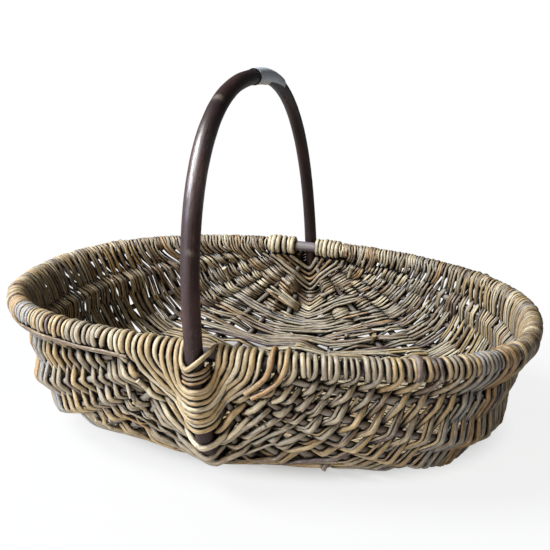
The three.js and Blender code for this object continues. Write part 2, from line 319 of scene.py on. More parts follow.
def camera_sees(tree):
    return Wire(tree.nodes.new("ShaderNodeLightPath").outputs["Is Camera Ray"])


def object_place(material):
    return Wire(material.node_tree.nodes.new("ShaderNodeTexCoord").outputs["Object"])


def rod_material(name, **fixed):
    """A material with two attributes of its rods: the place in the rod, and the depth in a crevice."""
    material = new_material(name, **fixed)
    return material, read_attribute(material, "grain", "Vector"), read_attribute(material, "crevice")


def finish_shader(material, colour, roughness, height, bump):
    """Wires the sums to the shader and hands the material on."""
    normal = height.node("ShaderNodeBump", {}, {"Strength": bump, "Distance": 0.001, "Height": height})
    for wire, socket in ((colour, "Base Color"), (roughness, "Roughness"), (normal, "Normal")):
        wire.tree.links.new(wire.socket, shader_of(material).inputs[socket])
    return material


# %% [markdown]
# ## Finishes
#
# Every rod carries three attributes. One, grain, is a place in the rod as if it lay straight: the length
# along it and the place across it, in metres. Noise read there runs along the rod round every bend and
# has no seam. The second, tone, is one random number for the whole rod, because no two willow rods dry to
# the same colour. The third, crevice, is measured once all rods lie in place: how close the next rod is,
# from 0 to 1, and the finishes paint shade into the rod by it. The handle also has scar, for its worn
# places, and the label marks the underside of its wrap, where shade is painted on the paper.

# %% Willow weavers: straw, grey and brown, with a few purple rods
STRAW = srgb(188, 162, 116)
PALE = srgb(214, 199, 166)
GREY = srgb(166, 153, 130)
BLUE_GREY = srgb(152, 150, 148)
BROWN = srgb(132, 107, 79)
ORANGE = srgb(172, 136, 90)
PURPLE = srgb(100, 81, 80)
DARK = srgb(58, 45, 36)
# Painted shade: the dark that the finishes paint into the crevices between rods.
CREVICE_SHADE = srgb(18, 13, 10)


def weaver_finish():
    material, grain, crevice = rod_material("willow_weavers", Specular_IOR_Level=0.6)
    tone = read_attribute(material, "tone")
    palette = [
        (0.00, PURPLE), (0.06, BROWN), (0.20, GREY), (0.38, BLUE_GREY), (0.43, STRAW),
        (0.66, PALE), (0.77, ORANGE), (0.83, GREY), (0.93, STRAW),
    ]
    bark = tone.ramp(palette, "CONSTANT")
    weather = grain.stretched(17, 70).noise(1, 2).between(0.40, 0.66)
    faded = (weather * 0.45).mix(bark, GREY)
    tan = grain.stretched(23, 40).noise(1, 1).between(0.55, 0.72)
    warmed = (tan * 0.45).mix(faded, STRAW)
    streak = grain.stretched(70, 1000).noise(1, 4, 0.65)
    streaked = (streak.between(0.46, 0.70) * 0.6).mix(warmed, DARK)
    blotch = grain.stretched(130, 420).noise(1, 4, 0.65)
    blotched = (blotch.between(0.54, 0.66) * 0.55).mix(streaked, DARK)
    # Painted highlight, partly rubbed wear: the weaver is painted pale where no rod is close and its
    # blotches are light.
    wear_and_sheen = (1 - blotch.between(0.34, 0.45)) * (1 - crevice)
    paled = (wear_and_sheen * 0.6).mix(blotched, PALE)
    scars = grain.stretched(38, 36).node("ShaderNodeTexVoronoi", {}, {"Scale": 1.0}, "Distance")
    scar = 1 - scars.between(0.04, 0.12)
    marked = (scar * 0.75).mix(paled, DARK)
    # Painted shade: the weaver is painted dark where another rod is close.
    colour = crevice.between(0.08, 0.80).mix(marked, CREVICE_SHADE)
    roughness = 0.34 + 0.24 * streak + 0.1 * weather
    height = streak * 0.7 + blotch * 0.8 + scar * 0.5
    return finish_shader(material, colour, roughness, height, 0.5)


# %% Ribs: dry grey-brown bark
def rib_finish():
    material, grain, crevice = rod_material("rib_bark", Specular_IOR_Level=0.35)
    tone = read_attribute(material, "tone")
    streak = grain.stretched(40, 700).noise(1, 5, 0.6)
    patch = grain.stretched(22, 90).noise(1, 2).between(0.38, 0.66)
    bark = tone.ramp([(0.0, srgb(118, 106, 92)), (0.5, srgb(148, 142, 132)), (1.0, srgb(106, 90, 80))])
    faded = (patch * 0.5).mix(bark, srgb(164, 160, 152))
    streaked = (streak.between(0.5, 0.75) * 0.6).mix(faded, DARK)
    # Painted shade: the rib is painted dark where another rod is close.
    colour = crevice.between(0.15, 0.9).mix(streaked, CREVICE_SHADE)
    return finish_shader(material, colour, 0.5 + 0.25 * streak, streak, 0.45)


# %% Handle: dark purple-brown bark, polished by the hand on its front leg, with painted shade at its top and back
FRONT_HALF = (-0.09, 0.0)
POLISH_START = (0.115, 0.150)
POLISH_END = (0.180, 0.215)
# Heights above the rim where the painted shade on the top of the handle starts.
SHADE_START = (0.15, 0.20)


def handle_finish():
    fixed = {"Specular_IOR_Level": 0.35, "Coat_Roughness": 0.40, "Coat_IOR": 2.0}
    material, grain, crevice = rod_material("handle_bark", **fixed)
    streak = grain.stretched(12, 420).noise(1, 5, 0.6)
    patch = grain.stretched(9, 40).noise(1, 3, 0.55)
    bark = patch.ramp([(0.30, srgb(30, 19, 19)), (0.50, srgb(56, 36, 36)), (0.72, srgb(98, 64, 56))])
    streaked = (streak.between(0.45, 0.72) * 0.6).mix(bark, srgb(26, 18, 18))
    pores = grain.stretched(260, 900).node("ShaderNodeTexVoronoi", {}, {"Scale": 1.0}, "Distance")
    pore = 1 - pores.between(0.12, 0.30)
    worn = grain.stretched(30, 130).noise(1, 4, 0.7).between(0.60, 0.74)
    speck = grain.stretched(420, 1300).noise(1, 3, 0.7).between(0.58, 0.72)
    specked = (worn * 0.3 + pore * 0.15 + speck * 0.3).mix(streaked, srgb(140, 118, 112))
    place = object_place(material)
    above_rim = place.node("ShaderNodeSeparateXYZ", {}, {"Vector": place}, "Z") - RIM_HEIGHT
    at_front = 1 - place.node("ShaderNodeSeparateXYZ", {}, {"Vector": place}, "Y").between(*FRONT_HALF)
    # Painted shade: the top of the handle and its back leg are painted darker.
    top_and_back_shade = 1 - at_front * (1 - above_rim.between(*SHADE_START))
    darkened = (top_and_back_shade * 0.6).mix(specked, srgb(24, 16, 15))
    scarred = (read_attribute(material, "scar") * 0.6).mix(darkened, srgb(168, 156, 146))
    # Painted shade: the handle is painted dark where another rod is close.
    colour = crevice.between(0.15, 0.9).mix(scarred, CREVICE_SHADE)
    roughness = 0.38 + 0.20 * streak + 0.15 * worn + 0.1 * speck
    held = above_rim.between(*POLISH_START) - above_rim.between(*POLISH_END)
    wear_and_sheen = 1 - 0.75 * grain.stretched(90, 520).noise(1, 4, 0.7).between(0.42, 0.62)
    polish = held * at_front * wear_and_sheen
    polish.tree.links.new(polish.socket, shader_of(material).inputs["Coat Weight"])
    height = streak * 0.6 + pore * 0.3 + speck * 0.3
    return finish_shader(material, colour, roughness, height, 0.5)


# %% Rim: the same kind of bark, greyer
def rim_finish():
    material, grain, crevice = rod_material("rim_bark", Specular_IOR_Level=0.45)
    streak = grain.stretched(20, 500).noise(1, 5, 0.6)
    patch = grain.stretched(16, 60).noise(1, 3, 0.55)
    bark = patch.ramp([(0.35, srgb(66, 54, 56)), (0.52, srgb(98, 88, 92)), (0.70, srgb(128, 120, 120))])
    streaked = (streak.between(0.48, 0.74) * 0.5).mix(bark, srgb(46, 36, 36))
    # Painted shade: the rim is painted dark where another rod is close.
    colour = crevice.between(0.15, 0.9).mix(streaked, CREVICE_SHADE)
    return finish_shader(material, colour, 0.36 + 0.25 * streak, streak, 0.35)


# %% Cut ends: bare pale wood with a darker pith
def cut_finish():
    material = new_material("cut_wood", Specular_IOR_Level=0.3)
    fibre = read_attribute(material, "grain", "Vector").stretched(200, 1600).noise(1, 3, 0.6)
    wood = [(0.3, srgb(170, 146, 108)), (0.55, srgb(214, 196, 160)), (0.8, srgb(230, 218, 190))]
    return finish_shader(material, fibre.ramp(wood), 0.6 + 0.2 * fibre, fibre, 0.4)


# %% Label: plain white paper, a little bluish and creased
def paper_finish():
    material = new_material("label_paper", Specular_IOR_Level=0.4)
    place = object_place(material)
    fibre = place.noise(900, 4, 0.6)
    crease = place.noise(140, 3, 0.6)
    stain = place.noise(60, 2).between(0.45, 0.75)
    paper = fibre.ramp([(0.3, srgb(192, 200, 213)), (0.7, srgb(217, 223, 232))])
    stained = (stain * 0.35).mix(paper, srgb(186, 188, 192))
    # Painted shade: the part of the band that wraps under the handle is painted cream.
    colour = (read_attribute(material, "under_shade") * 0.8).mix(stained, srgb(212, 203, 182))
    return finish_shader(material, colour, 0.42 + 0.2 * crease, fibre * 0.3 + crease, 0.35)


finishes = {
    "weaver": weaver_finish(), "rib": rib_finish(), "handle": handle_finish(),
    "rim": rim_finish(), "cut": cut_finish(), "paper": paper_finish(),
}
print("finishes:", ", ".join(finishes))

# %% [markdown]
# ## Floor and studio light
#
# The floor is one pale sheet. To the camera it is mostly plain white, as in a cut-out picture. Near the
# basket it keeps a soft shadow, and right under it it stays dark, so the gaps between the rods look deep.
# The light is broad and soft, from above on the left. A cool window at the front left gives the dark bark
# of the handle its bluish edge, and a small warm lamp at the front keeps the near wall from going grey.

# %% Floor
FLOOR_GREY = srgb(196, 196, 196)
UNDER_WHITE = 0.15
NEAR_WHITE = 0.86
UNDER_EDGE = (0.13, 0.20)
NEAR_EDGE = (0.22, 0.50)
OVAL = (0.75, 1, 1)
SHADOW_SHIFT = (-0.008, -0.035, 0)


def floor_finish():
    fixed = {"Base_Color": FLOOR_GREY, "Roughness": 0.9, "Specular_IOR_Level": 0.1}
    material = new_material("pale_floor", **fixed)
    tree = material.node_tree
    white = tree.nodes.new("ShaderNodeEmission")
    seen = camera_sees(tree)
    place = object_place(material)
    sizes = {"Vector": place, "Vector_001": OVAL, "Vector_002": SHADOW_SHIFT}
    footprint = place.node("ShaderNodeVectorMath", {"operation": "MULTIPLY_ADD"}, sizes)
    away = place.node("ShaderNodeVectorMath", {"operation": "LENGTH"}, {"Vector": footprint}, "Value")
    nearby = UNDER_WHITE + (NEAR_WHITE - UNDER_WHITE) * away.between(*UNDER_EDGE)
    whiteness = nearby + (1 - NEAR_WHITE) * away.between(*NEAR_EDGE)
    mixed = seen.node("ShaderNodeMixShader", {}, {"Fac": seen * whiteness})
    tree.links.new(shader_of(material).outputs[0], mixed.socket.node.inputs[1])
    tree.links.new(white.outputs[0], mixed.socket.node.inputs[2])
    tree.links.new(mixed.socket, tree.nodes["Material Output"].inputs["Surface"])
    return material


bpy.ops.object.select_all(action="DESELECT")
bpy.ops.mesh.primitive_plane_add(size=40, location=(0, 0, 0))
floor = bpy.context.object
floor.name = "studio_floor"
floor.data.materials.append(floor_finish())
print("floor:", floor.dimensions.x, "m wide")


# %% Lamps and sky
def add_lamp(name, place, size, power, colour):
    bpy.ops.object.light_add(type="AREA", location=place)
    lamp = bpy.context.object
    lamp.name = name
    lamp.data.size = size
    lamp.data.energy = power
    lamp.data.color = colour
    lamp.rotation_mode = "QUATERNION"
    lamp.rotation_quaternion = (AIM - Vector(place)).to_track_quat("-Z", "Y")
    return lamp


lamps = [
    add_lamp("key", (-1.3, -0.6, 1.9), 0.9, 87, (0.97, 0.985, 1.0)),
    add_lamp("window", (-1.5, -1.35, 0.75), 1.3, 32, (0.50, 0.72, 1.0)),
    add_lamp("front", (-0.65, -1.9, 0.6), 0.5, 15, (1.0, 0.72, 0.42)),
]
world = bpy.data.worlds.new("studio")
bpy.context.scene.world = world
world.use_nodes = True
sky = world.node_tree.nodes["Background"]
SKY_LIGHT = 0.08
strength = SKY_LIGHT + (1 - SKY_LIGHT) * camera_sees(world.node_tree)
world.node_tree.links.new(strength.socket, sky.inputs["Strength"])
sky.inputs["Color"].default_value = (1, 1, 1, 1)
print("lamps:", [lamp.name for lamp in lamps])

# %% [markdown]
# ## Bending a rod
#
# A willow rod is a stick of nearly round section that follows a path. In Blender that is a path with a
# bevel: the section is swept along the points, and each point has its own radius for taper and knots. The
# path is added as by hand, its points are replaced, and Convert turns it into a mesh. The end faces are
# cut wood, not bark, so they get their own finish.

# %% One rod
RING_STEP = 0.0028
WEAVER_RESOLUTION = 2
THICK_RESOLUTION = 6


def only(*objects):
    bpy.ops.object.select_all(action="DESELECT")
    for chosen in objects:
        chosen.select_set(True)
    bpy.context.view_layer.objects.active = objects[0]


def bend_rod(points, radii, tone, resolution, closed=False):
    """A rod along evenly spaced points, with its grain and tone attributes."""
    bpy.ops.object.select_all(action="DESELECT")
    bpy.ops.curve.primitive_nurbs_path_add()
    rod = bpy.context.object
    path = rod.data
    path.splines.clear()
    spline = path.splines.new("POLY")
    count = len(points)
    spline.points.add(count - 1)
    spline.points.foreach_set("co", np.column_stack([points, np.ones(count)]).astype(np.float32).ravel())
    spline.points.foreach_set("radius", np.asarray(radii, np.float32))
    spline.use_cyclic_u = closed
    path.bevel_depth = 1
    path.bevel_resolution = resolution
    path.use_fill_caps = not closed
    bpy.ops.object.convert(target="MESH")
    mark_grain(rod.data, points, radii, tone, 2 * resolution + 4, closed)
    return rod


def read_all(things, name, kind, size=1):
    """One value of every vertex, corner or face, or size values, in one array."""
    values = np.empty(size * len(things), kind)
    things.foreach_get(name, values)
    return values


def vertex_vectors(piece, name):
    return read_all(piece.data.vertices, name, np.float32, 3).reshape(-1, 3).astype(float)


def mark(mesh, name, values):
    """One number on each vertex, for the finishes to read."""
    spots = mesh.attributes.new(name, "FLOAT", "POINT").data
    spots.foreach_set("value", np.asarray(values, np.float32))


def mark_grain(mesh, points, radii, tone, sides, closed):
    """Attributes for the finishes. An open rod's mesh starts with its two end faces, the far one first."""
    count = len(points)
    caps = 0 if closed else 2 * sides
    index = np.arange(len(mesh.vertices))
    ring = np.where(index < sides, count - 1, 0)
    ring = np.where(index >= caps, (index - caps) // sides, ring)
    turn = 2 * math.pi * (index % sides) / sides
    step = np.linalg.norm(np.diff(points, axis=0), axis=1).mean()
    start = dice.uniform(0, 40)
    along = start + ring * step
    if closed:
        along = start + np.abs(ring - count / 2) * step
    thick = np.asarray(radii)[ring]
    grain = np.column_stack([along, thick * np.cos(turn), thick * np.sin(turn)])
    spots = mesh.attributes.new("grain", "FLOAT_VECTOR", "POINT").data
    spots.foreach_set("vector", grain.ravel().astype(np.float32))
    mark(mesh, "tone", np.full(len(index), tone))
    corners = read_all(mesh.loops, "vertex_index", np.int32)
    starts = read_all(mesh.polygons, "loop_start", np.int32)
    highest = np.maximum.reduceat(corners, starts)
    mesh.polygons.foreach_set("material_index", (highest < caps).astype(np.int32))


# %% A piece made of rods
def make_piece(name, rods, bark, node=None):
    """Joins rods into one piece, closes the ends and gives the piece its finish and its body."""
    for rod in rods:
        rod.data.materials.clear()
        rod.data.materials.append(finishes[bark])
        rod.data.materials.append(finishes["cut"])
    only(*rods)
    if len(rods) > 1:
        bpy.ops.object.join()
    piece = bpy.context.object
    bpy.ops.object.mode_set(mode="EDIT")
    bpy.ops.mesh.select_all(action="SELECT")
    bpy.ops.mesh.remove_doubles(threshold=1e-7)
    bpy.ops.mesh.normals_make_consistent(inside=False)
    bpy.ops.object.mode_set(mode="OBJECT")
    bpy.ops.object.shade_smooth_by_angle(angle=math.radians(60))
    piece.name = piece.data.name = name
    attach(piece, "root")
    if node:
        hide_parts(node)
    return piece


def uneven(count, step, size, amount):
    """Smooth random values along a rod: a new one every size metres, eased between."""
    knots = max(4, int(count * step / size) + 3)
    values = [dice.uniform(-amount, amount) for _ in range(knots)]
    return np.interp(np.linspace(0, knots - 1, count), range(knots), values)


# %% [markdown]
# ## Handle hoop
#
# One thick rod goes over the basket as its handle and under it as its keel, outside the rim at both ears.
# It is a little thicker at the front, and it swells at its front shoulder. A closed path gives the hoop,
# and the bud scars on its bark are pulled out of the mesh with a proportional move, as one would pull
# them out by hand.

# %% Handle
HANDLE_TAPER = 0.08
SWELLING = 0.10
SWOLLEN_SHARE = 0.71
SWOLLEN_REACH = 0.075
HOOP_STEP = 0.004
HANDLE_BUMPS = [(0.035, 0.02), (0.007, 0.010)]
SCAR_PULL = 0.006
# Each scar has a place on the arch, a height, a lean out of the arch and a size.
SCARS = [(0.865, 0.0012, 0.0, 0.0042), (0.640, 0.0007, 3.0, 0.0065)]

hoop = Line(np.concatenate([keel.points[:-1], arch.points[:-1], keel.points[:1]]))
hoop_points = hoop.even(HOOP_STEP)[:-1]
hoop_radii = HANDLE_ROD / 2 * (1 - HANDLE_TAPER * hoop_points[:, 1] / handle_half_width)
for size, amount in HANDLE_BUMPS:
    hoop_radii *= 1 + uneven(len(hoop_points), HOOP_STEP, size, amount)
from_swelling = np.linalg.norm(hoop_points - arch.at(SWOLLEN_SHARE), axis=1)
hoop_radii *= 1 + SWELLING * np.exp(-((from_swelling / SWOLLEN_REACH) ** 2))
handle_rod = bend_rod(hoop_points, hoop_radii, 0.5, THICK_RESOLUTION, closed=True)
handle = make_piece("handle", [handle_rod], "handle", "handle_hoop")
print("handle:", len(handle.data.polygons), "faces")


# %% Bud scars
def raise_scar(piece, place, outward, height):
    only(piece)
    bpy.ops.object.mode_set(mode="EDIT")
    bpy.ops.mesh.select_all(action="DESELECT")
    bpy.ops.object.mode_set(mode="OBJECT")
    nearest = min(piece.data.vertices, key=lambda v: (v.co - place).length)
    nearest.select = True
    bpy.ops.object.mode_set(mode="EDIT")
    pull = {"use_proportional_edit": True, "use_proportional_connected": True}
    bpy.ops.transform.translate(value=outward * height, proportional_size=SCAR_PULL, **pull)
    bpy.ops.object.mode_set(mode="OBJECT")


def mark_scars(piece, scars):
    """Bark is worn pale round a scar, and this attribute tells the finish where."""
    spots = vertex_vectors(piece, "co")
    pale = np.zeros(len(spots))
    for place, size in scars:
        away = np.linalg.norm(spots - np.array(place), axis=1)
        pale = np.maximum(pale, np.clip(1 - away / size, 0, 1))
    mark(piece.data, "scar", pale)


scars = []
for share, height, lean, size in SCARS:
    centre = Vector(arch.at(share))
    outward = (camera.location - centre).normalized()
    outward = (outward + lean * (centre - Vector(CENTRE)).normalized()).normalized()
    scars.append((centre + outward * HANDLE_ROD / 2, size))
    raise_scar(handle, scars[-1][0], outward, height)
mark_scars(handle, scars)
print("bud scars:", len(SCARS))

# %% [markdown]
# ## Rim hoop
#
# The rim is a thinner rod bent into an oval. The weavers wrap it nearly everywhere, so it only shows in
# the gaps between wraps and inside the ears. It is made like the handle.

# %% Rim
RIM_BUMPS = (0.05, 0.02)
RIM_RESOLUTION = 4

rim_loop = Line(np.concatenate([left_lines[0].points[:-1], right_lines[0].points[::-1]]))
rim_points = rim_loop.even(HOOP_STEP)[:-1]
rim_radii = RIM_ROD / 2 * (1 + uneven(len(rim_points), HOOP_STEP, *RIM_BUMPS))
rim_rod = bend_rod(rim_points, rim_radii, 0.5, RIM_RESOLUTION, closed=True)
rim = make_piece("rim", [rim_rod], "rim", "rim_hoop")
print("rim:", len(rim.data.polygons), "faces")

# %% [markdown]
# ## The order of the weave
#
# Weaving starts at both ears and meets in the middle. A course is one pass from rim to rim. The first
# courses at an ear run straight from the rim to the keel, outside one rib. Then come the even ribs, and
# later the odd ones, and from there every rod goes over one rib and under the next. On the floor a rod
# sometimes passes two ribs on the same side, as on the real one. A warp is a rod that is woven round: it
# knows its line, its thickness and the first course that crosses it.

# %% Courses
COURSES = 125
PIECES = 19
EAR_COURSES = 7
FAT_COURSES = 6
STRAIGHT_COURSES = 3
EVEN_RIB_COURSES = 4
FEW_RIB_COURSES = 13
LOOSE_RIB_COURSES = 11
LOOSE_COURSES = 26
FIRST_RIB = 4
CHORD_COURSES = (10, 34)
WEAVER_ROD = 0.0051
EAR_ROD = 0.0061
FRONT_ROD = 0.0056
SINGLE_COURSES = 40
PAIR_ROD = 0.0038
BACK_ROD = 0.0036
course_numbers = np.arange(1, COURSES + 1)


def course_places(front_ear, front_loose, back_loose, back_ear, bare_step=1):
    """Where the courses cross a warp, from 0 to 1, with wider steps at and near the ears."""
    steps = np.ones(COURSES - 1)
    steps[:LOOSE_COURSES] = front_loose
    steps[-LOOSE_COURSES:] = back_loose
    steps[:EAR_COURSES] = front_ear
    steps[-EAR_COURSES:] = back_ear
    steps[EAR_COURSES] *= bare_step
    return np.concatenate([[0], np.cumsum(steps)]) / steps.sum()


def course_depth(course):
    """How many courses lie between this one and the nearer ear."""
    return min(course, COURSES + 1 - course)


def is_ear(course):
    return course_depth(course) <= EAR_COURSES


left_places = course_places(1.45, 1.25, 1.5, 1.2)
right_places = course_places(1.25, 1.9, 1.5, 1.15, 1.5)
keel_places = course_places(1.6, 1.1, 1.0, 1.2, 2.4)
print("courses:", COURSES)


# %% Warps
@dataclass
class Warp:
    line: Line
    radius: float
    front: int
    back: int
    gaps: tuple
    places: np.ndarray
    fan: float = 0

    def takes(self, course):
        return self.front <= course <= COURSES + 1 - self.back

    def share(self, course):
        length = self.line.length
        place = self.gaps[0] + (length - sum(self.gaps)) * np.interp(course, course_numbers, self.places)
        chord = 1 / (math.cos(self.fan) + math.sin(self.fan))
        pulled = np.interp(course_depth(course), CHORD_COURSES, (chord, 1))
        if course < COURSES / 2:
            return place * pulled / length
        return 1 - (length - place) * pulled / length


def first_course(rib, few):
    if rib in (0, FIRST_RIB):
        return 1
    return EVEN_RIB_COURSES + 1 if rib % 2 == 0 else few


def side_warps(lines, places, rim_gaps, few):
    """The rim and the ribs of one side. From rib to rib the courses near their places on the keel."""
    warps = [Warp(lines[0], RIM_ROD / 2, 1, 1, rim_gaps, places)]
    for rib in range(1, RIBS_PER_SIDE + 1):
        front, back = first_course(rib, few), first_course(rib, FEW_RIB_COURSES + 1)
        slanted = places + (rib / (RIBS_PER_SIDE + 1)) ** SLANT * (keel_places - places)
        fan = rib / (RIBS_PER_SIDE + 1) * quarter
        warps.append(Warp(lines[rib], RIB_ROD / 2, front, back, RIB_GAPS, slanted, fan))
    return warps


RIB_GAPS = (0.030, 0.026)
SLANT = 0.65
left_warps = side_warps(left_lines, left_places, (0.0185, 0.019), FEW_RIB_COURSES + 1)
right_warps = side_warps(right_lines, right_places, (0.021, 0.0125), LOOSE_RIB_COURSES + 1)
# On the left the first ear rods run straight from the rim to the keel.
left_warps[FIRST_RIB].front = left_warps[FIRST_RIB].back = STRAIGHT_COURSES + 1
keel_warp = Warp(keel, HANDLE_ROD / 2, 1, 1, (0.025, 0.028), keel_places)
all_warps = [*left_warps, keel_warp, *right_warps[::-1]]
print("warps:", len(all_warps))

# %% [markdown]
# ## Ribs
#
# A rib is a thinner rod whose ends are tucked into the weave at the ears. Its bark is dry and grey. Each
# rib is one open path, tapered to both ends, with small swellings where its side shoots were cut.

# %% Rib rods
RIB_TAIL = 1.5
RIB_BUMPS = (0.03, 0.05)
RIB_RESOLUTION = 3


def make_rib(warp, name):
    start = warp.share(max(warp.front - RIB_TAIL, 1))
    end = warp.share(COURSES + 1 - max(warp.back - RIB_TAIL, 1))
    line = Line(warp.line.at(np.linspace(start, end, SAMPLES)))
    points = line.even(RING_STEP)
    share = np.linspace(0, 1, len(points))
    radii = warp.radius * (0.80 + 0.20 * np.sin(math.pi * share) ** 0.5)
    radii *= 1 + uneven(len(points), RING_STEP, *RIB_BUMPS)
    rod = bend_rod(points, radii, dice.random(), RIB_RESOLUTION)
    return make_piece(name, [rod], "rib", name)


ribs = []
for rib in range(1, RIBS_PER_SIDE + 1):
    ribs.append(make_rib(left_warps[rib], f"rib_left_{rib}"))
    ribs.append(make_rib(right_warps[rib], f"rib_right_{rib}"))
print("ribs:", len(ribs))

# %% [markdown]
# ## One course of the weave
#
# A weaver is laid out as a list of stops. Each stop is where it passes a warp, outside or inside, with
# its centre one rib radius and one weaver radius away from the rib's centre. At the rim a weaver wraps
# round before it goes back, so a turn is a fan of stops round the rim. A smooth curve through the stops
# is the centre line of the rod.


# %% Stops
@dataclass
class Stop:
    warp: Warp
    share: float
    side: int
    normal: np.ndarray
    travel: np.ndarray
    ease: float
    raised: float = TOUCH

    def centre(self, thickness):
        lift = self.warp.radius + thickness / 2 + self.raised
        return self.warp.line.at(self.share) + self.side * lift * self.normal


FLOOR_WARPS = range(4, 13)
FLOOR_JOINS = (2, 4, 4, 6)
FLOOR_SLANT = 0.4
FLOOR_LIFT = 0.0025
WEAVE_EASE = 0.34
KEEL_BEND = math.pi / 3
HALF_TURNS = 3
MORE_HALF_TURNS = 5
WIDE_TURN = 0.012
CUT_STOP = 6
TUCK_TURN = 1.45 * math.pi
RIM_SPREAD = 0.25
JITTER = 0.3
TURN_WANDER = 0.0007
DRIFT = 0.65
floor_dice = random.Random(5)
waves = [(dice.uniform(5, 15), dice.random(), dice.uniform(0.02, 0.16)) for _ in range(5)]


def drift(course, rib):
    """A slow wandering of neighbouring courses together, in courses."""
    turns = [course / length + phase + rib * slant for length, phase, slant in waves]
    return DRIFT * sum(math.sin(2 * math.pi * turn) for turn in turns) / len(waves)


def unit(vector):
    return vector / np.linalg.norm(vector)


def square_to(along, vector):
    """The direction of a vector, turned square to a rod."""
    return unit(vector - along * (vector @ along))


def floor_joins():
    """Floor ribs after which a course stays on its side. An even number keeps the walls in step."""
    return floor_dice.sample(FLOOR_WARPS[:-1], floor_dice.choice(FLOOR_JOINS))


# %% The stops of one course
def course_stops(course, warps):
    """Where one course passes the warps, in its own direction, with its side of each."""
    crossed = [warp for warp in warps if warp.takes(course)]
    if course % 2 == 0:
        crossed.reverse()
    last = len(crossed) - 1
    laid = []
    count = 0
    joins = floor_joins()
    lean = floor_dice.uniform(-FLOOR_SLANT, FLOOR_SLANT)
    before = None
    for i, warp in enumerate(crossed):
        is_rim = warp.radius == RIM_ROD / 2
        index = all_warps.index(warp)
        stays = before is not None and abs(index - before) == 1 and min(index, before) in joins
        count += i > 0 and not stays
        before = index
        on_floor = index in FLOOR_WARPS and course_depth(course) > FEW_RIB_COURSES
        shift = drift(course, index) + dice.uniform(-JITTER, JITTER)
        if on_floor:
            shift += lean * math.sin(2 * math.pi * (index - FLOOR_WARPS[0]) / (len(FLOOR_WARPS) - 1))
        if is_rim:
            spread = 0 if is_ear(course) else RIM_SPREAD
            shift = spread if i == 0 else -spread
        share = warp.share(course + shift)
        side = 1 if (count + int(course)) % 2 == 0 or is_ear(course) else -1
        lift = floor_dice.uniform(0, FLOOR_LIFT) if on_floor and side < 0 else 0
        laid.append((warp, share, side, is_rim, TOUCH + lift))
    places = [warp.line.at(share) for warp, share, *_ in laid]
    stops = []
    for i, (warp, share, side, is_rim, raised) in enumerate(laid):
        along = warp.line.heading(share)
        travel = places[min(i + 1, last)] - places[max(i - 1, 0)]
        travel = square_to(along, travel)
        normal = np.cross(along, travel)
        normal *= np.sign(normal @ (places[i] - CENTRE))
        stop = Stop(warp, share, side, normal, travel, 1.0 if is_rim else WEAVE_EASE, raised)
        bends = warp is keel_warp and course_depth(course) < FEW_RIB_COURSES
        stops.extend(keel_bend(stop) if bends else [stop])
    return stops


def keel_bend(stop):
    """Near the ears a course bends right round the thick keel."""
    fan = []
    for lean in (-KEEL_BEND, 0, KEEL_BEND):
        normal = stop.normal * math.cos(lean) + stop.side * stop.travel * math.sin(lean)
        fan.append(replace(stop, normal=normal, ease=0.9))
    return fan


# %% Turns round the rim
def rim_stop(warp, share, outward, side, angle):
    """A stop on the way round the rim: angle 0 is at its side, and a quarter turn on is over its top."""
    along = warp.line.heading(share)
    outward = square_to(along, outward)
    upward = np.cross(outward, along)
    upward *= np.sign(upward[2])
    normal = outward * side * math.cos(angle) + upward * math.sin(angle)
    return Stop(warp, share, 1, normal, along, 1.0)


def turn_stops(first, second):
    """Stops round the rim, over its top first, from the end of one course to the start of the next."""
    width = abs(second.share - first.share) * first.warp.line.length
    half_turns = MORE_HALF_TURNS if width > WIDE_TURN else HALF_TURNS
    fan = []
    for part in np.linspace(0, 1, half_turns * 4 + 1)[1:-1]:
        wander = dice.uniform(-TURN_WANDER, TURN_WANDER) / first.warp.line.length
        share = first.share + (second.share - first.share) * part + wander
        outward = first.normal + (second.normal - first.normal) * part
        fan.append(rim_stop(first.warp, share, outward, first.side, part * half_turns * math.pi))
    return fan


def tuck_stops(stop):
    """An ear rod goes over the rim once, and its end is tucked in behind."""
    lean = dice.uniform(-0.1, 0.1) * WEAVER_ROD / stop.warp.line.length
    fan = []
    for angle in np.linspace(0, TUCK_TURN, 8)[1:]:
        fan.append(rim_stop(stop.warp, stop.share + lean * angle, stop.normal, stop.side, angle))
    return fan


# %% A smooth curve through the stops
CURVE_STEP = 0.0015


def curve_through(centres, eases):
    """Each stretch is a cubic that leaves and meets its stops along the mean of the chords there."""
    chords = np.diff(centres, axis=0)
    lengths = np.linalg.norm(chords, axis=1)
    heads = chords / lengths[:, None]
    weight = lengths[1:] / (lengths[1:] + lengths[:-1])
    inner = heads[:-1] * weight[:, None] + heads[1:] * (1 - weight[:, None])
    tangents = np.vstack([heads[:1], inner / np.linalg.norm(inner, axis=1)[:, None], heads[-1:]])
    points = []
    for i, length in enumerate(lengths):
        t = np.linspace(0, 1, max(3, int(length / CURVE_STEP)), endpoint=False)[:, None]
        leave = tangents[i] * eases[i] * length
        meet = tangents[i + 1] * eases[i + 1] * length
        a = (2 * t**3 - 3 * t**2 + 1) * centres[i] + (t**3 - 2 * t**2 + t) * leave
        b = (3 * t**2 - 2 * t**3) * centres[i + 1] + (t**3 - t**2) * meet
        points.append(a + b)
    return Line(np.vstack([*points, centres[-1:]]))


print("stops and curves are ready")

# %% [markdown]
# ## The weave
#
# All courses are laid out first, with their turns, and each turn is then cut under the rim, where the
# weaver's end is hidden. At the front one rod makes a course, further on two thin ones side by side, and
# at the back three. Every rod has its own thickness, taper and tone. Neighbouring courses sometimes keep
# the same tone, where one long rod makes two courses. A rod that would dip below the floor is lifted onto
# it.

